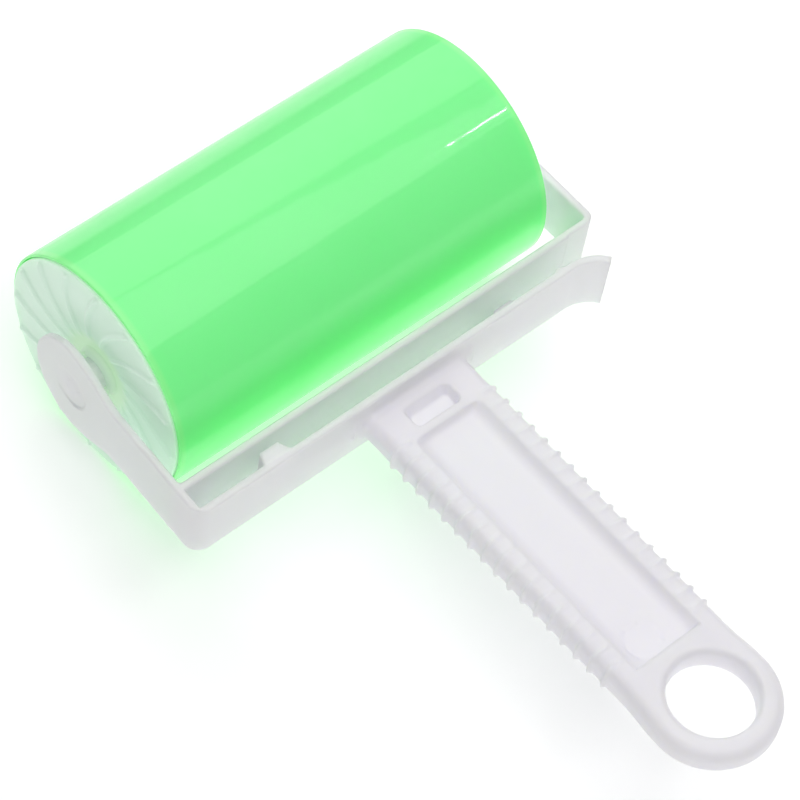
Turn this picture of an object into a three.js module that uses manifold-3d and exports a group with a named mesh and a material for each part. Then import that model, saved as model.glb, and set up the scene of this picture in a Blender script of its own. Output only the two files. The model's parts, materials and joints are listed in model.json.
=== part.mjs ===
// Washable lint roller: a sticky sleeve on a hollow roller, turning between the two arms of a
// one-piece plastic frame with a ribbed handle and a hanging ring.
// Millimetres. +X runs along the roller, the handle points along -Y, +Z is up.
// The origin is under the middle of the object, level with the lowest point of the roller.
import * as THREE from "three";
import { mergeVertices } from "three/addons/utils/BufferGeometryUtils.js";
import Module from "manifold-3d";

const wasm = await Module();
wasm.setup();

// ---- Driving dimensions ------------------------------------------------------------------

// Roller
const rollerDiameter = 60;
const rollerLength = 109.4;
const rollerOffset = 1; // the roller sits this far right of the handle's centre line
const sleeveShift = 0.6; // the sleeve sits this far right on the core and the caps
const sleeveWall = 0.6;
const sleeveEdgeRadius = 0.4;
const coreWall = 2;
const fitGap = 0.3; // between pieces that touch

// End caps
const capLip = 0.8; // thickness of the rim that covers the end of the core
const capWall = 2;
const capSpigot = 8; // how far the spigot reaches into the core, from the face of the cap
const capSpigotWall = 1.6;
const capDish = 1.6; // the face sinks this much from the flat rim to the hub
const capFlatFrom = 24.5; // radius where the flat rim begins
const hubRadius = 6.5;
const hubBore = 3.4;
const hubLength = 9;
const swirlRibs = 16;
const swirlStart = THREE.MathUtils.degToRad(1.5);
const swirlSweep = THREE.MathUtils.degToRad(20);
const swirlRibWidth = 1.4;
const swirlRibProud = 1;
const swirlInner = 9;
const swirlOuter = 28.3;

// Frame: straps standing on edge
const strapWall = 1.9;
const strapHeight = 16.5;
const frameWidth = 124.4;
const outerBarInside = 45.2; // distance from the axle to the near face of the outer bar
const innerBarInside = 37.8; // distance from the axle to the near face of the inner bar
const leftArmLean = 2; // the left arm leans in this much between its corner and the axle
const leftCornerRadius = 4;
const rightCornerRadius = 2.6;
const innerCornerRadius = 1;
const stepX = 53.4; // beyond this the inner bar is thinner
const stepDepth = 0.35;

// Free end of the outer bar
const flareStartX = 48.5;
const flareRadius = 11.7;
const flareAngle = THREE.MathUtils.degToRad(52.5);
const ridgeX = 45.5;
const ridgeWidth = 3.2;
const ridgeProud = 0.6;

// Tongues in the slot between the bars
const tongueBase = 7.6;
const tongueTip = 5.2;
const tongueReach = 3;
const tongueHeight = 10.8;
const upperTongueX = -38.7;
const lowerTongueX = 31.4;

// Axle pads and pins
const padRadius = 13;
const padNeckRadius = 6;
const dimpleRadius = 5.3;
const dimpleDepth = 0.35;
const pinRadius = 3;
const pinReach = 6; // how far the pin goes into the hub
const pinChamfer = 1;
const shoulderRadius = 3.9;
const shoulderGap = 0.5;

// Handle
const handleHalfWidth = 15;
const handleHalfThickness = 3.8;
const handleEdgeRadius = 2.8;
const ringRadius = 15.8;
const ringCentre = 145.7; // distance from the axle
const holeRadius = 10.2;
const holeFlare = 1.2;
const panelStart = 58.6;
const panelEnd = 131.3;
const panelFloor = 2; // height of the panel's floor above the handle's mid plane
const panelHalfWidth = 6;
const panelRimHalfWidth = 9.6;
const pocketStart = 50.6;
const pocketEnd = 56.6;
const pocketHalfWidth = 6.6;
const pocketFloor = 1.5;
const pocketCorner = 1.2;
const ribCount = 17;
const ribFirst = 58;
const ribPitch = 4.35;
const ribWidth = 1.8;
const ribProud = 0.75; // at the handle's edge
const ribProudFace = 0.3; // on top of the rails
const ribInner = 9.8;
const junctionFillet = 1.2;
const topFillet = 2.4;

// ---- Derived -----------------------------------------------------------------------------

const rollerRadius = rollerDiameter / 2;
const sleeveBore = rollerRadius - sleeveWall;
const coreRadius = sleeveBore - fitGap;
const coreBore = coreRadius - coreWall;
const capRadius = coreRadius;
const capFace = rollerLength / 2;
const hubFace = capFace - capDish;
const coreHalfLength = capFace - capLip - fitGap;
const strapHalf = strapHeight / 2;
const halfWidth = frameWidth / 2;
const outerBarOutside = outerBarInside + strapWall;
const innerBarOutside = innerBarInside + strapWall;
const frameLength = ringCentre + ringRadius;
const axleY = (frameLength - rollerRadius) / 2;
const axleZ = rollerRadius;
const roundSegments = 48;

// ---- Helpers -----------------------------------------------------------------------------

const X = new THREE.Vector3(1, 0, 0);
const Y = new THREE.Vector3(0, 1, 0);
const Z = new THREE.Vector3(0, 0, 1);
const back = new THREE.Vector3(0, -1, 0);

// Six times the signed volume of a triangle list
function signedVolume(vertices, triangles) {
  let sum = 0;
  const [a, b, c] = [new THREE.Vector3(), new THREE.Vector3(), new THREE.Vector3()];
  for (let i = 0; i < triangles.length; i += 3) {
    a.fromArray(vertices, 3 * triangles[i]);
    b.fromArray(vertices, 3 * triangles[i + 1]);
    c.fromArray(vertices, 3 * triangles[i + 2]);
    sum += a.dot(b.cross(c));
  }
  return sum;
}

// A closed three.js geometry as a manifold-3d solid with its faces pointing out
function toSolid(geometry) {
  const bare = geometry.clone();
  bare.deleteAttribute("normal");
  bare.deleteAttribute("uv");
  const merged = mergeVertices(bare, 1e-4);
  const vertProperties = new Float32Array(merged.attributes.position.array);
  const index = merged.index.array;
  const kept = [];
  for (let i = 0; i < index.length; i += 3) {
    const [a, b, c] = [index[i], index[i + 1], index[i + 2]];
    if (a !== b && b !== c && c !== a) {
      kept.push(a, b, c);
    }
  }
  const triVerts = new Uint32Array(kept);
  if (signedVolume(vertProperties, triVerts) < 0) {
    triVerts.reverse();
  }
  return new wasm.Manifold(new wasm.Mesh({ numProp: 3, vertProperties, triVerts }));
}

function toGeometry(solid) {
  const mesh = solid.getMesh();
  const geometry = new THREE.BufferGeometry();
  geometry.setAttribute("position", new THREE.BufferAttribute(mesh.vertProperties, 3));
  geometry.setIndex(new THREE.BufferAttribute(mesh.triVerts, 1));
  geometry.computeVertexNormals();
  return geometry;
}

// Extrudes a shape drawn on the axes u and v from `from` to `to` along their cross product w
function extrude(shape, u, v, w, from, to, curveSegments = 12) {
  const geometry = new THREE.ExtrudeGeometry(shape, {
    depth: to - from,
    bevelEnabled: false,
    curveSegments,
  });
  geometry.translate(0, 0, from);
  geometry.applyMatrix4(new THREE.Matrix4().makeBasis(u, v, w));
  return toSolid(geometry);
}

const extrudeZ = (shape, from, to, segments) => extrude(shape, X, Y, Z, from, to, segments);
const extrudeX = (shape, from, to, segments) => extrude(shape, Y, Z, X, from, to, segments);
// Sections of the handle are drawn on X and Z and run back from the axle, along -Y
const extrudeBack = (shape, from, to, segments) => extrude(shape, X, Z, back, from, to, segments);

// A closed profile of [radius, height] points turned about `axis`, which is X or Z
function turn(profile, axis) {
  const points = profile.map(([radius, height]) => new THREE.Vector2(radius, height));
  const geometry = new THREE.LatheGeometry(points, roundSegments);
  if (axis === X) {
    geometry.rotateZ(-Math.PI / 2);
  } else {
    geometry.rotateX(Math.PI / 2);
  }
  return toSolid(geometry);
}

function polygon(points) {
  const shape = new THREE.Shape();
  points.forEach(([u, v], i) => (i ? shape.lineTo(u, v) : shape.moveTo(u, v)));
  shape.closePath();
  return shape;
}

function roundedRectangle(u0, v0, u1, v1, r) {
  const shape = new THREE.Shape();
  shape.moveTo(u0 + r, v0);
  shape.lineTo(u1 - r, v0);
  shape.absarc(u1 - r, v0 + r, r, -Math.PI / 2, 0);
  shape.lineTo(u1, v1 - r);
  shape.absarc(u1 - r, v1 - r, r, 0, Math.PI / 2);
  shape.lineTo(u0 + r, v1);
  shape.absarc(u0 + r, v1 - r, r, Math.PI / 2, Math.PI);
  shape.lineTo(u0, v0 + r);
  shape.absarc(u0 + r, v0 + r, r, Math.PI, 1.5 * Math.PI);
  return shape;
}

// Points on an arc, for profiles that are turned
function arcPoints(u, v, radius, from, to, steps = 3) {
  return Array.from({ length: steps + 1 }, (_, i) => {
    const angle = from + ((to - from) * i) / steps;
    return [u + radius * Math.cos(angle), v + radius * Math.sin(angle)];
  });
}

// ---- Frame -------------------------------------------------------------------------------

// Outer face of the left arm, which leans in from its corner towards the axle
const leanLength = outerBarOutside - leftCornerRadius;
const leftOutside = (y) => -halfWidth + (leftArmLean * (y + leanLength)) / leanLength;
const leftInside = (y) => leftOutside(y) + strapWall;

// The straps seen from above, as one outline: left arm, outer bar with its flared end, back
// along the slot, inner bar, right arm
function strapPlan() {
  const shape = new THREE.Shape();
  const r = leftCornerRadius;
  const flareY = -outerBarInside - flareRadius;
  const halfPi = Math.PI / 2;
  shape.moveTo(leftOutside(padRadius), padRadius);
  shape.absarc(r - halfWidth, r - outerBarOutside, r, Math.PI, 1.5 * Math.PI);
  shape.absarc(flareStartX, flareY, flareRadius - strapWall, halfPi, halfPi - flareAngle, true);
  shape.absarc(flareStartX, flareY, flareRadius, halfPi - flareAngle, halfPi);
  shape.lineTo(ridgeX + ridgeWidth / 2, -outerBarInside);
  shape.quadraticCurveTo(
    ridgeX, 2 * ridgeProud - outerBarInside,
    ridgeX - ridgeWidth / 2, -outerBarInside,
  );
  shape.lineTo(leftInside(-outerBarInside), -outerBarInside);
  shape.lineTo(leftInside(-innerBarOutside), -innerBarOutside);
  shape.lineTo(stepX, -innerBarOutside);
  shape.lineTo(stepX, stepDepth - innerBarOutside);
  const cornerX = halfWidth - rightCornerRadius;
  const cornerY = stepDepth - innerBarOutside + rightCornerRadius;
  shape.absarc(cornerX, cornerY, rightCornerRadius, -halfPi, 0);
  shape.lineTo(halfWidth, padRadius);
  shape.lineTo(halfWidth - strapWall, padRadius);
  const q = innerCornerRadius;
  shape.absarc(halfWidth - strapWall - q, q - innerBarInside, q, 0, -halfPi, true);
  shape.lineTo(leftInside(-innerBarInside) + q, -innerBarInside);
  shape.lineTo(leftInside(q - innerBarInside), q - innerBarInside);
  shape.lineTo(leftInside(padRadius), padRadius);
  shape.closePath();
  return shape;
}

// The arms seen from the side: a strap that widens into a round pad about the axle
function armProfile() {
  const neckZ = strapHalf + padNeckRadius;
  const neckY = -Math.sqrt((padRadius + padNeckRadius) ** 2 - neckZ ** 2);
  const toAxle = Math.atan2(-neckZ, -neckY);
  const fromAxle = Math.atan2(neckZ, neckY);
  const shape = new THREE.Shape();
  shape.moveTo(-outerBarOutside - flareRadius, -strapHalf);
  shape.lineTo(neckY, -strapHalf);
  shape.absarc(neckY, -neckZ, padNeckRadius, Math.PI / 2, -toAxle, true);
  shape.absarc(0, 0, padRadius, -fromAxle, fromAxle);
  shape.absarc(neckY, neckZ, padNeckRadius, toAxle, -Math.PI / 2, true);
  shape.lineTo(-outerBarOutside - flareRadius, strapHalf);
  shape.closePath();
  return shape;
}

// A tapered tongue that reaches from the outer bar into the slot
function tongue(centreX, from, to) {
  const root = -outerBarInside - strapWall / 2;
  const shape = polygon([
    [centreX - tongueBase / 2, root],
    [centreX + tongueBase / 2, root],
    [centreX + tongueBase / 2, -outerBarInside],
    [centreX + tongueTip / 2, tongueReach - outerBarInside],
    [centreX - tongueTip / 2, tongueReach - outerBarInside],
    [centreX - tongueBase / 2, -outerBarInside],
  ]);
  return extrudeZ(shape, from, to);
}

// Pin and shoulder on the inside of an arm: side is -1 for the left arm, 1 for the right
function axlePin(side) {
  const armFace = side < 0 ? leftInside(0) : halfWidth - strapWall;
  const faceX = rollerOffset + side * hubFace;
  const root = armFace + side * strapWall / 2;
  const shoulderEnd = faceX + side * shoulderGap;
  const tip = faceX - side * pinReach;
  return turn([
    [0, root],
    [shoulderRadius, root],
    [shoulderRadius, shoulderEnd],
    [pinRadius, shoulderEnd],
    [pinRadius, tip + side * pinChamfer],
    [pinRadius - pinChamfer, tip],
    [0, tip],
  ], X);
}

// A shallow round dimple in the outer face of an arm, over the pin
function padDimple(side) {
  const face = side < 0 ? leftOutside(0) : halfWidth;
  const floor = face - side * dimpleDepth;
  const outside = face + side * strapWall;
  return turn([[0, floor], [dimpleRadius, floor], [dimpleRadius, outside], [0, outside]], X);
}

// Solid between the handle's top and the outer bar, with a hollow round face
function topJunction() {
  const bar = -outerBarOutside;
  const top = handleHalfThickness;
  const shape = new THREE.Shape();
  shape.moveTo(bar + strapWall / 2, top - 1);
  shape.lineTo(bar + strapWall / 2, top + topFillet);
  shape.lineTo(bar, top + topFillet);
  shape.absarc(bar - topFillet, top + topFillet, topFillet, 0, -Math.PI / 2, true);
  shape.lineTo(bar - topFillet, top - 1);
  shape.closePath();
  const half = handleHalfWidth - handleEdgeRadius / 2;
  return extrudeX(shape, -half, half, 5);
}

// The handle's sides widen where they meet the outer bar
function sideJunction() {
  const bar = -outerBarOutside;
  const r = junctionFillet;
  const shape = new THREE.Shape();
  shape.moveTo(-handleHalfWidth - r, bar + strapWall / 2);
  shape.lineTo(-handleHalfWidth - r, bar);
  shape.absarc(-handleHalfWidth - r, bar - r, r, Math.PI / 2, 0, true);
  shape.lineTo(handleHalfWidth, bar - r);
  shape.absarc(handleHalfWidth + r, bar - r, r, Math.PI, Math.PI / 2, true);
  shape.lineTo(handleHalfWidth + r, bar + strapWall / 2);
  shape.closePath();
  const half = handleHalfThickness - handleEdgeRadius / 2;
  return extrudeZ(shape, -half, half, 6);
}

function handleBody() {
  const w = handleHalfWidth;
  const h = handleHalfThickness;
  const bar = extrudeBack(
    roundedRectangle(-w, -h, w, h, handleEdgeRadius),
    outerBarOutside - strapWall / 2, ringCentre, 3,
  );
  const disc = turn([
    [0, -h],
    ...arcPoints(ringRadius - handleEdgeRadius, handleEdgeRadius - h, handleEdgeRadius, -Math.PI / 2, 0),
    ...arcPoints(ringRadius - handleEdgeRadius, h - handleEdgeRadius, handleEdgeRadius, 0, Math.PI / 2),
    [0, h],
  ], Z).translate([0, -ringCentre, 0]);
  return bar.add(disc);
}

// Ridges that run over each rail and around the handle's edge
function gripRibs() {
  const w = handleHalfWidth + ribProud;
  const h = handleHalfThickness + ribProudFace;
  let ribs = null;
  for (let i = 0; i < ribCount; i += 1) {
    const centre = ribFirst + i * ribPitch;
    const rib = extrudeBack(
      roundedRectangle(-w, -h, w, h, handleEdgeRadius),
      centre - ribWidth / 2, centre + ribWidth / 2, 2,
    );
    ribs = ribs ? ribs.add(rib) : rib;
  }
  const keep = roundedRectangle(-ribInner, -2 * h, ribInner, 2 * h, 1);
  return ribs.subtract(extrudeBack(keep, 0, frameLength));
}

// Hollows in one face of the handle: the long panel and the small pocket by the bar
function faceHollows() {
  const top = handleHalfThickness + 1;
  const slope = (panelRimHalfWidth - panelHalfWidth) / (handleHalfThickness - panelFloor);
  const rim = panelRimHalfWidth + slope * (top - handleHalfThickness);
  const panel = extrudeBack(polygon([
    [-panelHalfWidth, panelFloor],
    [panelHalfWidth, panelFloor],
    [rim, top],
    [-rim, top],
  ]), panelStart, panelEnd);
  const pocket = extrudeZ(
    roundedRectangle(-pocketHalfWidth, -pocketEnd, pocketHalfWidth, -pocketStart, pocketCorner),
    pocketFloor, top, 4,
  );
  return panel.add(pocket);
}

// The hanging hole, a little wider at both faces
function hangingHole() {
  const h = handleHalfThickness;
  const wide = holeRadius + holeFlare;
  return turn([
    [0, -h - 1],
    [wide, -h - 1],
    [wide, -h],
    [holeRadius, holeFlare - h],
    [holeRadius, h - holeFlare],
    [wide, h],
    [wide, h + 1],
    [0, h + 1],
  ], Z).translate([0, -ringCentre, 0]);
}

function frameSolid() {
  const straps = extrudeZ(strapPlan(), -padRadius, padRadius, 6)
    .intersect(extrudeX(armProfile(), -halfWidth - 1, halfWidth + 1, 10));
  const hollows = faceHollows();
  const handle = handleBody()
    .subtract(hollows)
    .subtract(hollows.mirror([0, 0, 1]))
    .add(gripRibs())
    .subtract(hangingHole());
  const junction = topJunction();
  return straps
    .add(handle)
    .add(sideJunction())
    .add(junction)
    .add(junction.mirror([0, 0, 1]))
    .add(tongue(upperTongueX, strapHalf - tongueHeight, strapHalf))
    .add(tongue(lowerTongueX, -strapHalf, tongueHeight - strapHalf))
    .add(axlePin(-1))
    .add(axlePin(1))
    .subtract(padDimple(-1))
    .subtract(padDimple(1));
}

// ---- Roller ------------------------------------------------------------------------------

function sleeveSolid() {
  const half = rollerLength / 2;
  const r = sleeveEdgeRadius;
  return turn([
    [sleeveBore, half],
    ...arcPoints(rollerRadius - r, half - r, r, Math.PI / 2, 0, 2),
    ...arcPoints(rollerRadius - r, r - half, r, 0, -Math.PI / 2, 2),
    [sleeveBore, -half],
    [sleeveBore, half],
  ], X);
}

function coreSolid() {
  return turn([
    [coreBore, coreHalfLength],
    [coreRadius, coreHalfLength],
    [coreRadius, -coreHalfLength],
    [coreBore, -coreHalfLength],
    [coreBore, coreHalfLength],
  ], X);
}

// One swirl rib, drawn in the plane of the cap
function swirlRibShape() {
  const steps = 4;
  const sides = [[], []];
  for (let i = 0; i <= steps; i += 1) {
    const radius = swirlInner + ((swirlOuter - swirlInner) * i) / steps;
    const angle = swirlStart + (swirlSweep * i) / steps;
    const half = swirlRibWidth / 2 / radius;
    sides[0].push([radius * Math.cos(angle - half), radius * Math.sin(angle - half)]);
    sides[1].unshift([radius * Math.cos(angle + half), radius * Math.sin(angle + half)]);
  }
  return polygon(sides.flat());
}

// The end cap at +X: a dished disc with swirl ribs, a spigot inside the core and a hub
function capSolid() {
  const hubInside = hubFace - hubLength;
  const spigotOut = coreBore - fitGap;
  const spigotIn = spigotOut - capSpigotWall;
  const disc = turn([
    [hubBore, hubFace],
    [hubRadius, hubFace],
    [capFlatFrom, capFace],
    [capRadius, capFace],
    [capRadius, capFace - capLip],
    [spigotOut, capFace - capLip],
    [spigotOut, capFace - capSpigot],
    [spigotIn, capFace - capSpigot],
    [spigotIn, capFace - capWall],
    [hubRadius, hubFace - capWall],
    [hubRadius, hubInside],
    [hubBore, hubInside],
    [hubBore, hubFace],
  ], X);
  const crown = turn([
    [hubRadius, hubFace - capWall / 2],
    [spigotIn, capFace - capWall / 2],
    [spigotIn, capFace - capLip / 2],
    [capRadius, capFace - capLip / 2],
    [capRadius, capFace + swirlRibProud],
    [hubRadius, hubFace + swirlRibProud / 2],
    [hubRadius, hubFace - capWall / 2],
  ], X);
  const rib = extrudeX(swirlRibShape(), capFace - 2 * capDish, capFace + 2 * swirlRibProud);
  let ribs = rib;
  for (let i = 1; i < swirlRibs; i += 1) {
    ribs = ribs.add(rib.rotate([(360 * i) / swirlRibs, 0, 0]));
  }
  return disc.add(ribs.intersect(crown));
}

// ---- Assembly ----------------------------------------------------------------------------

function material(color, roughness) {
  return new THREE.MeshStandardMaterial({ color, roughness, metalness: 0 });
}

const frameMaterial = material(0xeceaf1, 0.35);
const sleeveMaterial = material(0x8afc9a, 0.15);
const coreMaterial = material(0xe6ebe8, 0.4);
const capMaterial = material(0xcfe0d4, 0.35);

function piece(name, solid, pieceMaterial, x = 0) {
  const mesh = new THREE.Mesh(toGeometry(solid), pieceMaterial);
  mesh.name = name;
  mesh.position.x = x;
  return mesh;
}

// Everything is drawn about the axle and then lifted to stand on the ground plane
const lintRoller = new THREE.Group();
lintRoller.position.set(0, axleY, axleZ);

const cap = capSolid();
lintRoller.add(piece("handle_frame", frameSolid(), frameMaterial));
lintRoller.add(piece("sticky_sleeve", sleeveSolid(), sleeveMaterial, rollerOffset + sleeveShift));
lintRoller.add(piece("core_tube", coreSolid(), coreMaterial, rollerOffset));
lintRoller.add(piece("end_cap_right", cap, capMaterial, rollerOffset));
lintRoller.add(piece("end_cap_left", cap.mirror([1, 0, 0]), capMaterial, rollerOffset));

export default lintRoller;
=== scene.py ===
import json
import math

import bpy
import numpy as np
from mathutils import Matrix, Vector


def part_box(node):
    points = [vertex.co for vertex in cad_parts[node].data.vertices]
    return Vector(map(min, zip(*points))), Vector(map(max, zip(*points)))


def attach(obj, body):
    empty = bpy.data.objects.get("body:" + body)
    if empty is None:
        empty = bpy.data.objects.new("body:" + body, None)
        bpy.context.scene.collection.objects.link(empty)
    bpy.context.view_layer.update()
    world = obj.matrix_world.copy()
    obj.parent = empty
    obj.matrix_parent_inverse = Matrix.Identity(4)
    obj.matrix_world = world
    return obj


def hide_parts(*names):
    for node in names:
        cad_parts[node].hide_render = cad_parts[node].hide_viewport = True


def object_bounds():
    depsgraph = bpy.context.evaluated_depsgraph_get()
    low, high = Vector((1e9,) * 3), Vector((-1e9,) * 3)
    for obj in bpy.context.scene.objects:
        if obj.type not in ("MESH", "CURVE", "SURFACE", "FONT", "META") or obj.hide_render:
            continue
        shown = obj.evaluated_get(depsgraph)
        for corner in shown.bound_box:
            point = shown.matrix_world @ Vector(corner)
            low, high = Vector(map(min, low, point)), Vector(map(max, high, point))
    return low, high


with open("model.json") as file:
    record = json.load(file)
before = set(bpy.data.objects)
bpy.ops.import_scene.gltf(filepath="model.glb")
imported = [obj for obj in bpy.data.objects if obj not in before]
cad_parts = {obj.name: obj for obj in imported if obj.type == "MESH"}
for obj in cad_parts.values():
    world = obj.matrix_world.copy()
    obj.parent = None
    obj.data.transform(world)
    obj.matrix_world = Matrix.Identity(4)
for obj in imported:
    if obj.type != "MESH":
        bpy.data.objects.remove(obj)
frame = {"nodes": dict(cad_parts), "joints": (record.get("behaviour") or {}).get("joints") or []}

# Looks of the washable lint roller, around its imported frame.
#
# The moulded handle frame, the sticky sleeve and both end caps are replaced by finer meshes. The
# core tube inside the sleeve stays as it is and gets a better material. Shapes are worked out in
# millimetres measured from the axle (x along the roller, y towards its front, z up), and placed
# in metres by add_piece().

CAD_BOX = [list(corner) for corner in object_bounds()]
MM = 0.001

# ---- Sizes read from the frame -----------------------------------------------------------

spin = frame["joints"][0]
CENTRE_X = sum(corner.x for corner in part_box("handle_frame")) / 2
AXLE = np.array([CENTRE_X, spin["pos_m"][1], spin["pos_m"][2]])
ROLLER_CENTRE = tuple(spin["pos_m"])


def box_from_axle(node):
    """Lowest and highest corner of a CAD node, in millimetres from the axle."""
    return [(np.array(corner) - AXLE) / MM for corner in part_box(node)]


frame_low, frame_high = box_from_axle("handle_frame")
sleeve_low, sleeve_high = box_from_axle("sticky_sleeve")
core_low, core_high = box_from_axle("core_tube")
cap_low, cap_high = box_from_axle("end_cap_right")

ROLLER_X = spin["pos_m"][0] / MM - CENTRE_X / MM
ROLLER_RADIUS = sleeve_high[2]
SLEEVE_X = (sleeve_high[0] + sleeve_low[0]) / 2
SLEEVE_HALF_LENGTH = (sleeve_high[0] - sleeve_low[0]) / 2
CAP_RADIUS = cap_high[2]
CORE_RADIUS = core_high[2]
HALF_WIDTH = frame_high[0]
PAD_RADIUS = frame_high[1]
HANDLE_END = -frame_low[1]

# ---- Sizes of the details, in millimetres ------------------------------------------------

WALL = 1.9
STRAP_HALF_HEIGHT = 8.25
STRAP_EDGE = 0.45
OUTER_BAR_INSIDE = 45.2
INNER_BAR_INSIDE = 37.8
OUTER_BAR_OUTSIDE = OUTER_BAR_INSIDE + WALL
INNER_BAR_OUTSIDE = INNER_BAR_INSIDE + WALL
LEFT_ARM_LEAN = 2.0
LEFT_CORNER_RADIUS = 4.0
RIGHT_CORNER_RADIUS = 2.6
INNER_CORNER_RADIUS = 1.0
STEP_X = 53.4
STEP_DEPTH = 0.35
FLARE_START_X = 48.5
FLARE_RADIUS = 11.7
FLARE_ANGLE = 52.5
RIDGE_X = 45.5
RIDGE_RADIUS = 2.43
RIDGE_ANGLE = 41.1  # half of the arc that stands out of the bar

TONGUE_BASE = 7.6
TONGUE_TIP = 5.2
TONGUE_REACH = 3.0
TONGUE_HEIGHT = 10.8
TONGUE_FILLET = 0.5
TONGUES = ((-38.7, 1), (31.4, -1))  # middle of each, and whether it hangs from the top or stands

PAD_NECK_RADIUS = 6.0
DIMPLE_RADIUS = 5.3
DIMPLE_DEPTH = 0.3
SPOT_RADIUS = 2.4
PIN_RADIUS = 3.0
PIN_REACH = 6.0
SHOULDER_RADIUS = 3.9
SHOULDER_GAP = 0.5

HANDLE_HALF_WIDTH = 15.0
HANDLE_HALF_THICKNESS = 3.8
HANDLE_EDGE = 2.8
RING_RADIUS = 15.8
RING_CENTRE = HANDLE_END - RING_RADIUS
RING_NECK = 12.0  # length over which the stem widens to the ring
HOLE_RADIUS = 10.2
HOLE_EDGE = 1.7
JUNCTION_FILLET = 1.2
TOP_FILLET = 2.4
PANEL_START = 58.6
PANEL_END = 131.3
PANEL_FLOOR = 2.0
PANEL_FLAT = 6.0
PANEL_SWEEP = 4.5
PANEL_EDGE = 0.35
PANEL_START_ROUND = 1.6  # between the panel's floor and the wall nearest the bar
POCKET_START = 50.5
POCKET_END = 56.4
POCKET_HALF_WIDTH = 6.5
POCKET_FLOOR = 1.5
POCKET_CORNER = 1.5
POCKET_DRAFT = 0.3  # slope of the walls at the sides
POCKET_START_DRAFT = 0.7  # slope of the wall nearest the bar
MARK_AT = 126.4
MARK_X = -2.6
MARK_RADIUS = 4.6
MARK_DEPTH = 0.18
RIB_COUNT = 17
RIB_FIRST = 58.0
RIB_PITCH = 4.35
RIB_BASE = 1.9
RIB_PROUD = 0.72  # at the handle's edge
RIB_PROUD_FACE = 0.3  # on top of the rails
RIB_INNER = 9.8
RIB_RUN_IN = 1.2  # over which a rib rises from the rail
RIB_EDGE = 0.4  # a rib reaches its full height this far inside the handle's edge

SLEEVE_WALL = 0.6
SLEEVE_EDGE = 0.35
CORE_BORE = CORE_RADIUS - 2.0
FIT_GAP = 0.3
CAP_FACE = SLEEVE_HALF_LENGTH
CAP_LIP = 0.8
CAP_WALL = 2.0
CAP_SPIGOT = 8.0
CAP_SPIGOT_WALL = 1.6
CAP_DISH = 1.6
CAP_FLAT_FROM = 24.5
CAP_EDGE = 0.25
HUB_RADIUS = 6.5
HUB_BORE = 3.4
HUB_LENGTH = 9.0
SWIRL_RIBS = 16
SWIRL_START = 1.5
SWIRL_SWEEP = 20.0
SWIRL_WIDTH = 0.6
SWIRL_PROUD = 1.0
SWIRL_INNER = 8.5
SWIRL_OUTER = 28.1
SWIRL_RUN_IN = 3.0  # over which a swirl rib rises from the face

CELL = np.array([0.475, RIB_PITCH / 9, 0.475])  # nine cells to a rib, four to a wall
GRID_ORIGIN = np.array([0.24, 0.1 - RIB_FIRST, 0.24])  # keeps the grid off the flat faces

# ---- Distance fields ---------------------------------------------------------------------
# A solid is a function that gives the distance to its surface, negative inside.


def join(a, b, fillet):
    """Union of two solids with a hollow fillet where they meet."""
    corner = np.hypot(np.maximum(fillet - a, 0), np.maximum(fillet - b, 0))
    return np.maximum(fillet, np.minimum(a, b)) - corner


def overlap(a, b, edge):
    """What two solids share, with its edge rounded."""
    corner = np.hypot(np.maximum(edge + a, 0), np.maximum(edge + b, 0))
    return np.minimum(-edge, np.maximum(a, b)) + corner


def cut(a, b, edge):
    """Solid a without solid b, with the edge of the cut rounded."""
    return overlap(a, -b, edge)


def between(value, low, high):
    """Distance to the slab between two planes."""
    return np.abs(value - (low + high) / 2) - (high - low) / 2


def smooth_step(value, start, end):
    t = np.clip((value - start) / (end - start), 0, 1)
    return t * t * (3 - 2 * t)


def arc(x, y, radius, start, end):
    """Points on an arc, one every three degrees or so; angles in degrees."""
    angles = np.radians(np.linspace(start, end, max(2, round(abs(end - start) / 3) + 1)))
    return [(x + radius * math.cos(a), y + radius * math.sin(a)) for a in angles]


def outline_distance(points, x, y):
    """Distance to a closed outline in the x-y plane, negative inside."""
    nearest = np.full(np.broadcast(x, y).shape, np.inf)
    inside = np.zeros(nearest.shape, bool)
    for (ax, ay), (bx, by) in zip(points, points[1:] + points[:1]):
        ex, ey = bx - ax, by - ay
        wx, wy = x - ax, y - ay
        along = np.clip((wx * ex + wy * ey) / (ex * ex + ey * ey), 0, 1)
        nearest = np.minimum(nearest, (wx - along * ex) ** 2 + (wy - along * ey) ** 2)
        inside ^= ((ay > y) != (by > y)) & ((wx * ey < ex * wy) == (ey > 0))
    return np.sqrt(nearest) * np.where(inside, -1, 1)


# ---- Handle frame ------------------------------------------------------------------------

LEAN_LENGTH = OUTER_BAR_OUTSIDE - LEFT_CORNER_RADIUS
ABOVE_PAD = PAD_RADIUS + 2


def left_outside(y):
    """X of the left arm's outer face, which leans in from its corner towards the axle."""
    return -HALF_WIDTH + LEFT_ARM_LEAN * (y + LEAN_LENGTH) / LEAN_LENGTH


def left_inside(y):
    return left_outside(y) + WALL


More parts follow.
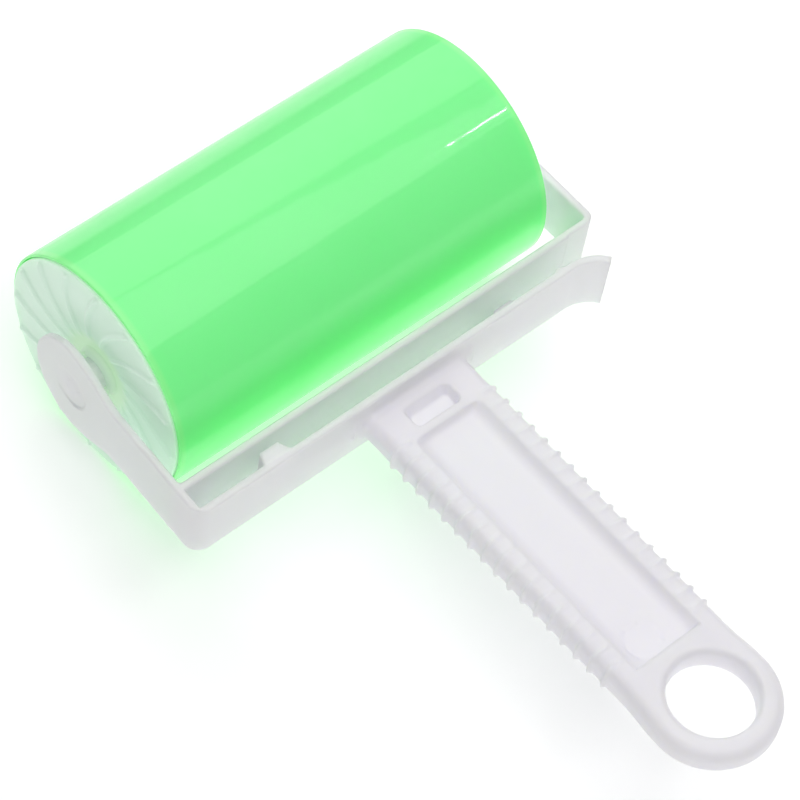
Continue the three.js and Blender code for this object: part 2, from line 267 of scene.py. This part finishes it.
def strap_outline():
    """The straps seen from above: left arm, outer bar and its flared end, inner bar, right arm."""
    outer, inner = -OUTER_BAR_INSIDE, -INNER_BAR_INSIDE
    r = LEFT_CORNER_RADIUS
    flare_y = outer - FLARE_RADIUS
    ridge_y = outer - RIDGE_RADIUS * math.cos(math.radians(RIDGE_ANGLE))
    corner_x = HALF_WIDTH - RIGHT_CORNER_RADIUS
    corner_y = STEP_DEPTH - INNER_BAR_OUTSIDE + RIGHT_CORNER_RADIUS
    inside_right = HALF_WIDTH - WALL
    q = INNER_CORNER_RADIUS
    return [
        (left_outside(ABOVE_PAD), ABOVE_PAD),
        *arc(r - HALF_WIDTH, r - OUTER_BAR_OUTSIDE, r, 180, 270),
        *arc(FLARE_START_X, flare_y, FLARE_RADIUS - WALL, 90, 90 - FLARE_ANGLE),
        *arc(FLARE_START_X, flare_y, FLARE_RADIUS, 90 - FLARE_ANGLE, 90),
        *arc(RIDGE_X, ridge_y, RIDGE_RADIUS, 90 - RIDGE_ANGLE, 90 + RIDGE_ANGLE),
        (left_inside(outer), outer),
        (left_inside(-INNER_BAR_OUTSIDE), -INNER_BAR_OUTSIDE),
        (STEP_X, -INNER_BAR_OUTSIDE),
        (STEP_X, STEP_DEPTH - INNER_BAR_OUTSIDE),
        *arc(corner_x, corner_y, RIGHT_CORNER_RADIUS, -90, 0),
        (HALF_WIDTH, ABOVE_PAD),
        (inside_right, ABOVE_PAD),
        *arc(inside_right - q, inner + q, q, 0, -90),
        *arc(left_inside(inner) + q, inner + q, q, 270, 180),
        (left_inside(ABOVE_PAD), ABOVE_PAD),
    ]


STRAP_OUTLINE = strap_outline()


def straps(x, y, z):
    """Straps on edge, whose arms widen into round pads about the axle."""
    side_view = join(np.maximum(np.abs(z) - STRAP_HALF_HEIGHT, y), np.hypot(y, z) - PAD_RADIUS,
                     PAD_NECK_RADIUS)
    return overlap(outline_distance(STRAP_OUTLINE, x, y), side_view, STRAP_EDGE)


def tongue(x, y, z, middle, level):
    """A tapered tongue from the outer bar into the slot; level is 1 at the top, -1 below."""
    reach = y + OUTER_BAR_INSIDE
    half = TONGUE_BASE / 2 - (TONGUE_BASE - TONGUE_TIP) / 2 * reach / TONGUE_REACH
    height = between(level * z, STRAP_HALF_HEIGHT - TONGUE_HEIGHT, STRAP_HALF_HEIGHT)
    plan = overlap(np.abs(x - middle) - half, between(reach, -WALL / 2, TONGUE_REACH), STRAP_EDGE)
    return overlap(plan, height, STRAP_EDGE)


def pin(x, y, z, side):
    """Shoulder and axle pin on the inside of an arm; side is -1 for the left arm."""
    arm = left_inside(0) if side < 0 else HALF_WIDTH - WALL
    hub = ROLLER_X + side * (CAP_FACE - CAP_DISH)
    out = side * x
    radius = np.hypot(y, z)
    root = side * arm + WALL / 2
    shoulder = overlap(radius - SHOULDER_RADIUS,
                       between(out, side * hub + SHOULDER_GAP, root), STRAP_EDGE)
    shaft = overlap(radius - PIN_RADIUS, between(out, side * hub - PIN_REACH, root), 2 * STRAP_EDGE)
    return join(shoulder, shaft, STRAP_EDGE)


def pad_dimple(x, y, z, side):
    """The shallow round sink in a pad's outer face, with a flat spot standing in its middle."""
    face = -left_outside(0) if side < 0 else HALF_WIDTH
    depth = face - side * x
    radius = np.hypot(y, z)
    ring = np.maximum(radius - DIMPLE_RADIUS, depth - DIMPLE_DEPTH)
    spot = np.maximum(radius - SPOT_RADIUS, DIMPLE_DEPTH / 2 - depth)
    return np.maximum(ring, -spot)


def rib_height(side, back):
    """How far the grip's ribs stand out: teeth at the handle's edge, low lines on the rails."""
    phase = (back - RIB_FIRST) / RIB_PITCH
    nearest = np.clip(np.round(phase), 0, RIB_COUNT - 1)
    beside = np.clip(np.abs(phase - nearest) * RIB_PITCH / RIB_BASE, 0, 0.5)
    proud = RIB_PROUD_FACE * smooth_step(side, RIB_INNER, RIB_INNER + RIB_RUN_IN)
    proud = proud + (RIB_PROUD - RIB_PROUD_FACE) * smooth_step(
        side, HANDLE_HALF_WIDTH - HANDLE_EDGE, HANDLE_HALF_WIDTH - RIB_EDGE)
    return proud * np.cos(math.pi * beside) ** 2


def handle(x, y, z):
    """Flat handle with a hanging ring; both of its faces are alike but for one mould mark."""
    side, back, height = np.abs(x), -y, np.abs(z)
    swell = smooth_step(back, RING_CENTRE - RING_NECK, RING_CENTRE)
    swell = (RING_RADIUS - HANDLE_HALF_WIDTH) * swell
    stem = join(side - HANDLE_HALF_WIDTH - swell, back - OUTER_BAR_OUTSIDE, JUNCTION_FILLET)
    stem = np.maximum(stem, between(back, OUTER_BAR_OUTSIDE - WALL / 2, RING_CENTRE))
    stem = np.maximum(stem, side - RING_RADIUS - JUNCTION_FILLET)
    from_ring = np.hypot(x, back - RING_CENTRE)
    plan = np.minimum(stem, from_ring - RING_RADIUS)
    body = overlap(plan, height - HANDLE_HALF_THICKNESS, HANDLE_EDGE) - rib_height(side, back)
    panel = np.hypot(np.maximum(side - PANEL_FLAT, 0),
                     np.maximum(PANEL_FLOOR + PANEL_SWEEP - height, 0)) - PANEL_SWEEP
    panel = overlap(panel, PANEL_START - back, PANEL_START_ROUND)
    body = cut(body, np.maximum(panel, back - PANEL_END), PANEL_EDGE)
    depth = HANDLE_HALF_THICKNESS - height
    pocket_wall = POCKET_START + POCKET_START_DRAFT * depth - back
    pocket = overlap(side - POCKET_HALF_WIDTH + POCKET_DRAFT * depth,
                     np.maximum(pocket_wall, back - POCKET_END), POCKET_CORNER)
    body = cut(body, np.maximum(pocket, POCKET_FLOOR - height), PANEL_EDGE)
    mark = np.hypot(x - MARK_X, back - MARK_AT) - MARK_RADIUS
    mark = np.maximum(mark, PANEL_FLOOR - MARK_DEPTH - z)
    body = np.maximum(body, -mark)
    return cut(body, from_ring - HOLE_RADIUS, HOLE_EDGE)


def handle_frame(x, y, z):
    solid = join(straps(x, y, z), handle(x, y, z), TOP_FILLET)
    for middle, level in TONGUES:
        solid = join(solid, tongue(x, y, z, middle, level), TONGUE_FILLET)
    for side in (-1, 1):
        solid = join(solid, pin(x, y, z, side), STRAP_EDGE)
        solid = cut(solid, pad_dimple(x, y, z, side), DIMPLE_DEPTH / 2)
    return solid


# ---- Meshing a distance field ------------------------------------------------------------

NUDGE = 0.02  # step for slopes
STEADY = 0.1  # holds a cell's point near the middle of its crossings where planes don't fix it


def slope(distance, points):
    """Outward unit normals of a distance field at some points."""
    steps = np.eye(3) * NUDGE
    rise = [distance(*(points + s).T) - distance(*(points - s).T) for s in steps]
    rise = np.stack(rise, axis=1)
    return rise / np.maximum(np.linalg.norm(rise, axis=1, keepdims=True), 1e-9)


def edge_crossings(distance, low, values, axis):
    """Where the grid's edges along one axis meet the surface, and the quad round each edge."""
    first = values.take(range(values.shape[axis] - 1), axis)
    second = values.take(range(1, values.shape[axis]), axis)
    index = np.argwhere((first < 0) != (second < 0))
    a, b = first[tuple(index.T)], second[tuple(index.T)]
    points = low + CELL * index
    points[:, axis] += CELL[axis] * a / (a - b)
    points[:, axis] -= distance(*points.T) * CELL[axis] / (b - a)
    quads = []
    for i, j in ((0, 0), (-1, 0), (-1, -1), (0, -1)):
        cells = index.copy()
        cells[:, (axis + 1) % 3] += i
        cells[:, (axis + 2) % 3] += j
        quads.append(np.ravel_multi_index(cells.T, values.shape))
    quads = np.stack(quads, axis=1)
    quads[a > 0] = quads[a > 0, ::-1]
    return points, quads


def contour(distance, low, high):
    """Vertices and quads of the surface of a distance field, by dual contouring: each grid cell
    that the surface passes through gets the point that fits the surface's planes in it best."""
    low = GRID_ORIGIN + CELL * (np.floor((low - GRID_ORIGIN) / CELL) - 2)
    counts = np.ceil((high - low) / CELL).astype(int) + 3
    axes = [low[k] + CELL[k] * np.arange(counts[k]) for k in range(3)]
    values = distance(*np.ix_(*axes))
    found = [edge_crossings(distance, low, values, axis) for axis in range(3)]
    points = np.concatenate([p for p, _ in found])
    quads = np.concatenate([q for _, q in found])
    normals = slope(distance, points)

    cells, owner = np.unique(quads.ravel(), return_inverse=True)
    points4, normals4 = np.repeat(points, 4, axis=0), np.repeat(normals, 4, axis=0)

    def total(weights):
        return np.bincount(owner.ravel(), weights, len(cells))

    share = total(np.ones(len(points4)))
    middle = np.stack([total(points4[:, k]) / share for k in range(3)], axis=1)
    offset = ((points4 - middle[owner.ravel()]) * normals4).sum(axis=1)
    pull = np.stack([total(normals4[:, k] * offset) for k in range(3)], axis=1)
    planes = np.empty((len(cells), 3, 3))
    for i in range(3):
        for j in range(3):
            planes[:, i, j] = total(normals4[:, i] * normals4[:, j])
    moved = np.linalg.solve(planes + STEADY * np.eye(3), pull[:, :, None])[:, :, 0]
    corner = low + CELL * np.stack(np.unravel_index(cells, values.shape), axis=1)
    vertices = np.clip(middle + moved, corner, corner + CELL)
    return vertices, owner.reshape(quads.shape)


# ---- Turned pieces -----------------------------------------------------------------------


def turned(profile, count, shape=None):
    """Vertices and quads of a closed profile of (x, radius) turned about the axle. shape, if
    given, moves the rings: shape(x, radius, angle) gives the new x and radius."""
    profile = np.array(profile)
    angles = np.arange(count) * 2 * math.pi / count
    x = np.repeat(profile[:, :1], count, axis=1)
    radius = np.repeat(profile[:, 1:], count, axis=1)
    if shape:
        x, radius = shape(x, radius, angles[None, :])
    vertices = np.stack([x, radius * np.cos(angles), radius * np.sin(angles)], axis=2)
    ring, step = np.meshgrid(np.arange(len(profile)), np.arange(count), indexing="ij")
    next_ring, next_step = (ring + 1) % len(profile), (step + 1) % count
    quads = np.stack([ring * count + step, next_ring * count + step,
                      next_ring * count + next_step, ring * count + next_step], axis=2)
    return vertices.reshape(-1, 3), quads.reshape(-1, 4)


def along(start, end, count):
    """Points from start up to, but not including, end."""
    t = np.linspace(0, 1, count, endpoint=False)[:, None]
    return list(np.array(start) * (1 - t) + np.array(end) * t)


SLEEVE_RINGS = 150
SLEEVE_STEPS = 288
CAP_RINGS = 72
CAP_STEPS = SWIRL_RIBS * 26

# Unevenness of the sleeve: depth and length in millimetres, turns round the axle, phase.
WAVES = ((0.004, 9.3, 3, 0.4), (0.004, 15.7, 5, 2.1), (0.002, 6.1, 8, 4.0), (0.008, 31.0, 2, 1.3))


def sleeve():
    """The sticky sleeve: soft rubber with rounded ends and a faintly uneven surface."""
    half, edge, outside = SLEEVE_HALF_LENGTH, SLEEVE_EDGE, ROLLER_RADIUS
    bore = outside - SLEEVE_WALL
    profile = [
        *along((-half, bore), (-half, outside - edge), 3),
        *arc(edge - half, outside - edge, edge, 180, 90)[::6],
        *along((edge - half, outside), (half - edge, outside), SLEEVE_RINGS)[1:],
        *arc(half - edge, outside - edge, edge, 90, 0)[::6],
        *along((half, outside - edge), (half, bore), 3)[1:],
        *along((half, bore), (-half, bore), 12),
    ]

    def uneven(x, radius, angle):
        depth = sum(size * (1 + np.sin(2 * math.pi * x / length + turns * angle + phase))
                    for size, length, turns, phase in WAVES)
        return x, radius - depth * smooth_step(radius, bore, outside)

    vertices, quads = turned(profile, SLEEVE_STEPS, uneven)
    return vertices + [SLEEVE_X, 0, 0], quads


def cap_face(radius):
    """X of the right cap's face, from the middle of the roller: flat outside, dished inside."""
    depth = np.clip((CAP_FLAT_FROM - radius) / (CAP_FLAT_FROM - HUB_RADIUS), 0, 1)
    return CAP_FACE - CAP_DISH * depth ** 1.4


def swirl(x, radius, angle):
    """Dishes the face of the right cap and raises the swirl ribs on it."""
    share = (radius - SWIRL_INNER) / (SWIRL_OUTER - SWIRL_INNER)
    turn = 2 * math.pi / SWIRL_RIBS
    centre = math.radians(SWIRL_START) + math.radians(SWIRL_SWEEP) * share
    beside = radius * (np.mod(angle - centre + turn / 2, turn) - turn / 2)
    ridge = np.exp(-(beside / SWIRL_WIDTH) ** 2)
    swell = (0.4 + 0.6 * share) * smooth_step(radius, SWIRL_INNER, SWIRL_INNER + SWIRL_RUN_IN)
    swell = swell * smooth_step(-radius, -SWIRL_OUTER - 0.4, -SWIRL_OUTER + 0.2)
    face = cap_face(radius) + SWIRL_PROUD * ridge * swell
    return np.where(x == CAP_FACE, face, x), radius


def cap(side):
    """End cap: a dished face with swirl ribs, a spigot inside the core and a hub for the pin.
    side is 1 for the right cap, and -1 for the left one, which is its mirror image."""
    spigot = CORE_BORE - FIT_GAP
    inner = spigot - CAP_SPIGOT_WALL
    hub_face = CAP_FACE - CAP_DISH
    edge = CAP_EDGE
    profile = [
        (hub_face - edge, HUB_BORE),
        (hub_face - edge / 4, HUB_BORE + edge / 4),
        *along((CAP_FACE, HUB_BORE + edge), (CAP_FACE, CAP_RADIUS - edge), CAP_RINGS),
        (CAP_FACE, CAP_RADIUS - edge),
        (CAP_FACE - edge / 4, CAP_RADIUS - edge / 4),
        (CAP_FACE - edge, CAP_RADIUS),
        (CAP_FACE - CAP_LIP, CAP_RADIUS),
        (CAP_FACE - CAP_LIP, spigot),
        (CAP_FACE - CAP_SPIGOT, spigot),
        (CAP_FACE - CAP_SPIGOT, inner),
        (CAP_FACE - CAP_WALL, inner),
        (hub_face - CAP_WALL, HUB_RADIUS),
        (hub_face - HUB_LENGTH, HUB_RADIUS),
        (hub_face - HUB_LENGTH, HUB_BORE),
    ]
    vertices, quads = turned(profile, CAP_STEPS, swirl)
    vertices[:, 0] *= side
    return vertices + [ROLLER_X, 0, 0], quads if side > 0 else quads[:, ::-1]


# ---- Materials ---------------------------------------------------------------------------


class Nodes:
    """A material's nodes. Its shader is a Principled BSDF, and textures follow the object."""

    def __init__(self, name, **values):
        self.material = bpy.data.materials.new(name)
        self.material.use_nodes = True
        self.tree = self.material.node_tree
        self.shader = self.tree.nodes["Principled BSDF"]
        for socket, value in values.items():
            self.shader.inputs[socket.replace("_", " ")].default_value = value
        self.place = self.tree.nodes.new("ShaderNodeTexCoord").outputs["Object"]

    def link(self, output, node_input):
        self.tree.links.new(output, node_input)

    def noise(self, size, detail=2.0, distortion=0.0, stretch=(1, 1, 1)):
        """A noise whose blobs are about `size` metres across, from 0 to 1."""
        mapping = self.tree.nodes.new("ShaderNodeMapping")
        mapping.inputs["Scale"].default_value = [s / size for s in stretch]
        self.link(self.place, mapping.inputs["Vector"])
        noise = self.tree.nodes.new("ShaderNodeTexNoise")
        noise.inputs["Scale"].default_value = 1.0
        noise.inputs["Detail"].default_value = detail
        noise.inputs["Distortion"].default_value = distortion
        self.link(mapping.outputs["Vector"], noise.inputs["Vector"])
        return noise.outputs["Fac"]

    def spread(self, value, low, high, start=0.3, end=0.7):
        """Maps a value from start..end to low..high."""
        node = self.tree.nodes.new("ShaderNodeMapRange")
        node.inputs["From Min"].default_value = start
        node.inputs["From Max"].default_value = end
        node.inputs["To Min"].default_value = low
        node.inputs["To Max"].default_value = high
        self.link(value, node.inputs["Value"])
        return node.outputs["Result"]

    def mix(self, amount, first, second):
        """Mixes two colours; each is a colour or another node's output."""
        node = self.tree.nodes.new("ShaderNodeMix")
        node.data_type = "RGBA"
        for socket, colour in ((node.inputs[6], first), (node.inputs[7], second)):
            if isinstance(colour, tuple):
                socket.default_value = (*colour, 1)
            else:
                self.link(colour, socket)
        self.link(amount, node.inputs[0])
        return node.outputs[2]

    def bump(self, height, depth, onto=None):
        """A bump of `depth` metres, on top of another bump if one is given."""
        node = self.tree.nodes.new("ShaderNodeBump")
        node.inputs["Strength"].default_value = 1.0
        node.inputs["Distance"].default_value = depth
        self.link(height, node.inputs["Height"])
        if onto:
            self.link(onto, node.inputs["Normal"])
        return node.outputs["Normal"]

    def distance(self, point, scale):
        """Distance from a point, along the axes that scale keeps."""
        moved = self.tree.nodes.new("ShaderNodeVectorMath")
        moved.operation = "SUBTRACT"
        moved.inputs[1].default_value = point
        self.link(self.place, moved.inputs[0])
        kept = self.tree.nodes.new("ShaderNodeVectorMath")
        kept.operation = "MULTIPLY"
        kept.inputs[1].default_value = scale
        self.link(moved.outputs[0], kept.inputs[0])
        length = self.tree.nodes.new("ShaderNodeVectorMath")
        length.operation = "LENGTH"
        self.link(kept.outputs[0], length.inputs[0])
        return length.outputs["Value"]

    def to(self, socket, value):
        self.link(value, self.shader.inputs[socket])


def frame_plastic():
    """Milky polypropylene: light soaks in a few millimetres, with faint flow marks and grain."""
    nodes = Nodes("milky_polypropylene", IOR=1.49, Subsurface_Weight=0.9, Subsurface_Scale=0.004,
                  Subsurface_Radius=(1.0, 1.0, 1.1), Subsurface_Anisotropy=0.3)
    clouds = nodes.spread(nodes.noise(0.03, 3, 0.6), 0, 1)
    flow = nodes.spread(nodes.noise(0.012, 2, 0.3, (1, 0.25, 1)), 0, 1)
    tone = nodes.mix(clouds, (0.895, 0.878, 0.930), (0.91, 0.892, 0.945))
    nodes.to("Base Color", nodes.mix(flow, tone, (0.915, 0.898, 0.95)))
    nodes.to("Roughness", nodes.spread(nodes.noise(0.004, 4), 0.31, 0.40))
    ripple = nodes.bump(nodes.noise(0.009, 2, 0.5), 0.00006)
    nodes.to("Normal", nodes.bump(nodes.noise(0.0006, 3), 0.000012, ripple))
    return nodes.material


def sleeve_rubber():
    """Tacky neon green rubber with a wet-looking skin; its green emission is a painted glow that
    makes it brighter than the lamps alone would.
    """
    nodes = Nodes("tacky_green_rubber", IOR=1.45, Subsurface_Weight=0.35, Subsurface_Scale=0.003,
                  Subsurface_Radius=(0.5, 1.2, 0.6), Coat_Weight=0.6, Coat_Roughness=0.055,
                  Coat_IOR=1.45, Emission_Color=(0.04, 1.0, 0.08, 1), Emission_Strength=0.22)
    clouds = nodes.spread(nodes.noise(0.04, 2, 0.4), 0, 1)
    green = nodes.mix(clouds, (0.235, 0.985, 0.325), (0.26, 0.99, 0.35))
    from_middle = nodes.distance((CENTRE_X + SLEEVE_X * MM, 0, 0), (1, 0, 0))
    end = SLEEVE_HALF_LENGTH * MM
    ends = nodes.spread(from_middle, 0, 1, end - 2 * MM, end - MM)
    nodes.to("Base Color", nodes.mix(ends, green, (0.33, 0.98, 0.36)))
    nodes.to("Roughness", nodes.spread(nodes.noise(0.01, 4), 0.36, 0.46))
    wave = nodes.bump(nodes.noise(0.008, 2, 0.3), 0.00002)
    nodes.to("Coat Normal", wave)
    nodes.to("Normal", wave)
    return nodes.material


def cap_plastic():
    """Thin milky plastic; its emission is a painted glow standing in for light that comes through
    the hollow green roller from behind.
    """
    nodes = Nodes("milky_cap_plastic", IOR=1.49, Subsurface_Weight=0.9, Subsurface_Scale=0.004,
                  Subsurface_Radius=(1, 1, 1), Emission_Color=(0.62, 0.95, 0.68, 1),
                  Emission_Strength=0.3)
    clouds = nodes.spread(nodes.noise(0.02, 2, 0.8), 0, 1)
    milky = nodes.mix(clouds, (0.58, 0.665, 0.62), (0.60, 0.68, 0.64))
    # Painted shade: within about ten millimetres of the axle the face turns a darker olive,
    # standing in for the arm's shadow tinted green by the roller.
    from_axle = nodes.distance(ROLLER_CENTRE, (0, 1, 1))
    face = nodes.spread(from_axle, 0, 1, 8.5 * MM, 11.5 * MM)
    nodes.to("Base Color", nodes.mix(face, (0.58, 0.68, 0.50), milky))
    nodes.to("Roughness", nodes.spread(nodes.noise(0.004, 3), 0.30, 0.36))
    nodes.to("Normal", nodes.bump(nodes.noise(0.004, 2), 0.00002))
    return nodes.material


def core_plastic():
    """Plain extruded tube, seen only where the sleeve is off."""
    nodes = Nodes("core_tube_plastic", IOR=1.49, Subsurface_Weight=0.2, Subsurface_Scale=0.002,
                  Subsurface_Radius=(1, 1, 1))
    lines = nodes.spread(nodes.noise(0.002, 3, 0, (0.05, 1, 1)), 0, 1)
    nodes.to("Base Color", nodes.mix(lines, (0.74, 0.79, 0.76), (0.80, 0.84, 0.81)))
    nodes.to("Roughness", nodes.spread(nodes.noise(0.003, 3), 0.4, 0.55))
    nodes.to("Normal", nodes.bump(lines, 0.00002))
    return nodes.material


def stage_white():
    """A pale light table, which evens out the shadows."""
    nodes = Nodes("stage_white", Roughness=0.9, Emission_Color=(1, 1, 1, 1), Emission_Strength=0.36)
    nodes.to("Base Color", nodes.mix(nodes.noise(0.3, 2), (0.86, 0.86, 0.86), (0.9, 0.9, 0.9)))
    return nodes.material


# ---- Pieces ------------------------------------------------------------------------------


def add_piece(name, shape, material, body, node):
    """Makes an object from millimetre vertices about the axle, in place of a CAD node."""
    vertices, quads = shape
    mesh = bpy.data.meshes.new(name)
    mesh.from_pydata(vertices * MM + AXLE, [], quads)
    mesh.polygons.foreach_set("use_smooth", np.ones(len(quads), bool))
    mesh.materials.append(material)
    mesh.update()
    piece = bpy.data.objects.new(name, mesh)
    bpy.context.scene.collection.objects.link(piece)
    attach(piece, body)
    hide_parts(node)


def build_object():
    milky, skin, milky_cap = frame_plastic(), sleeve_rubber(), cap_plastic()
    moulding = contour(handle_frame, frame_low, frame_high)
    add_piece("frame_moulding", moulding, milky, "frame", "handle_frame")
    add_piece("sticky_skin", sleeve(), skin, "roller", "sticky_sleeve")
    add_piece("cap_left", cap(-1), milky_cap, "roller", "end_cap_left")
    add_piece("cap_right", cap(1), milky_cap, "roller", "end_cap_right")
    core = frame["nodes"]["core_tube"]
    core.data.materials.clear()
    core.data.materials.append(core_plastic())


# ---- Stage, light and camera -------------------------------------------------------------

FLOOR_SIZE = 6.0
LENS = 160.3
CAMERA_AZIMUTH, CAMERA_ELEVATION, CAMERA_ROLL = -49.9, 56.05, 10.9
CAMERA_DISTANCE = 0.7939
SENSOR_WIDTH = 36.0
AIM = Vector((-0.0055, 0.0171, 0.0046))  # from the middle of the object's box
LAMPS = (
    # name, azimuth, elevation, distance, side of its square, power
    ("overhead_softbox", 20, 79, 1.2, 1.2, 8.1),
    ("key_softbox", -50, 50, 1.5, 1.0, 3.2),
    ("back_softbox", 150, 40, 1.2, 1.0, 5),
    ("streak_lamp", 61, 53.8, 1.0, 0.025, 0.12),
)


def direction(azimuth, elevation):
    """Unit vector towards a place at that azimuth and elevation, as the views count them."""
    a, e = math.radians(azimuth), math.radians(elevation)
    return Vector((math.sin(a) * math.cos(e), -math.cos(a) * math.cos(e), math.sin(e)))


def aimed(back, roll=0.0):
    """Rotation of a camera or lamp that looks along -back, rolled by some degrees."""
    turn = (-back).to_track_quat("-Z", "Y").to_matrix()
    return (turn @ Matrix.Rotation(math.radians(roll), 3, "Z")).to_4x4()


def make_floor():
    half = FLOOR_SIZE / 2
    mesh = bpy.data.meshes.new("stage_floor")
    corners = [(-half, -half, 0), (half, -half, 0), (half, half, 0), (-half, half, 0)]
    mesh.from_pydata(corners, [], [(0, 1, 2, 3)])
    mesh.materials.append(stage_white())
    floor = bpy.data.objects.new("stage_floor", mesh)
    bpy.context.scene.collection.objects.link(floor)


def make_lamp(name, azimuth, elevation, distance, side, power, centre):
    light = bpy.data.lights.new(name, "AREA")
    light.shape = "RECTANGLE"
    light.size, light.size_y = side, side
    light.energy = power
    back = direction(azimuth, elevation)
    lamp = bpy.data.objects.new(name, light)
    lamp.matrix_world = Matrix.Translation(centre + back * distance) @ aimed(back)
    bpy.context.scene.collection.objects.link(lamp)


def make_world():
    world = bpy.data.worlds.new("soft_white")
    world.use_nodes = True
    background = world.node_tree.nodes["Background"]
    background.inputs["Color"].default_value = (0.98, 0.98, 1.0, 1)
    background.inputs["Strength"].default_value = 0.12
    bpy.context.scene.world = world


def make_camera(centre):
    data = bpy.data.cameras.new("main_camera")
    data.lens, data.sensor_width = LENS, SENSOR_WIDTH
    back = direction(CAMERA_AZIMUTH, CAMERA_ELEVATION)
    camera = bpy.data.objects.new("main_camera", data)
    place = Matrix.Translation(centre + AIM + back * CAMERA_DISTANCE)
    camera.matrix_world = place @ aimed(back, CAMERA_ROLL)
    bpy.context.scene.collection.objects.link(camera)
    bpy.context.scene.camera = camera


def make_studio():
    middle = (Vector(CAD_BOX[0]) + Vector(CAD_BOX[1])) / 2
    make_camera(middle)
    make_floor()
    make_world()
    for lamp in LAMPS:
        make_lamp(*lamp, middle)
    bpy.context.scene.view_settings.view_transform = "Standard"


make_studio()
build_object()
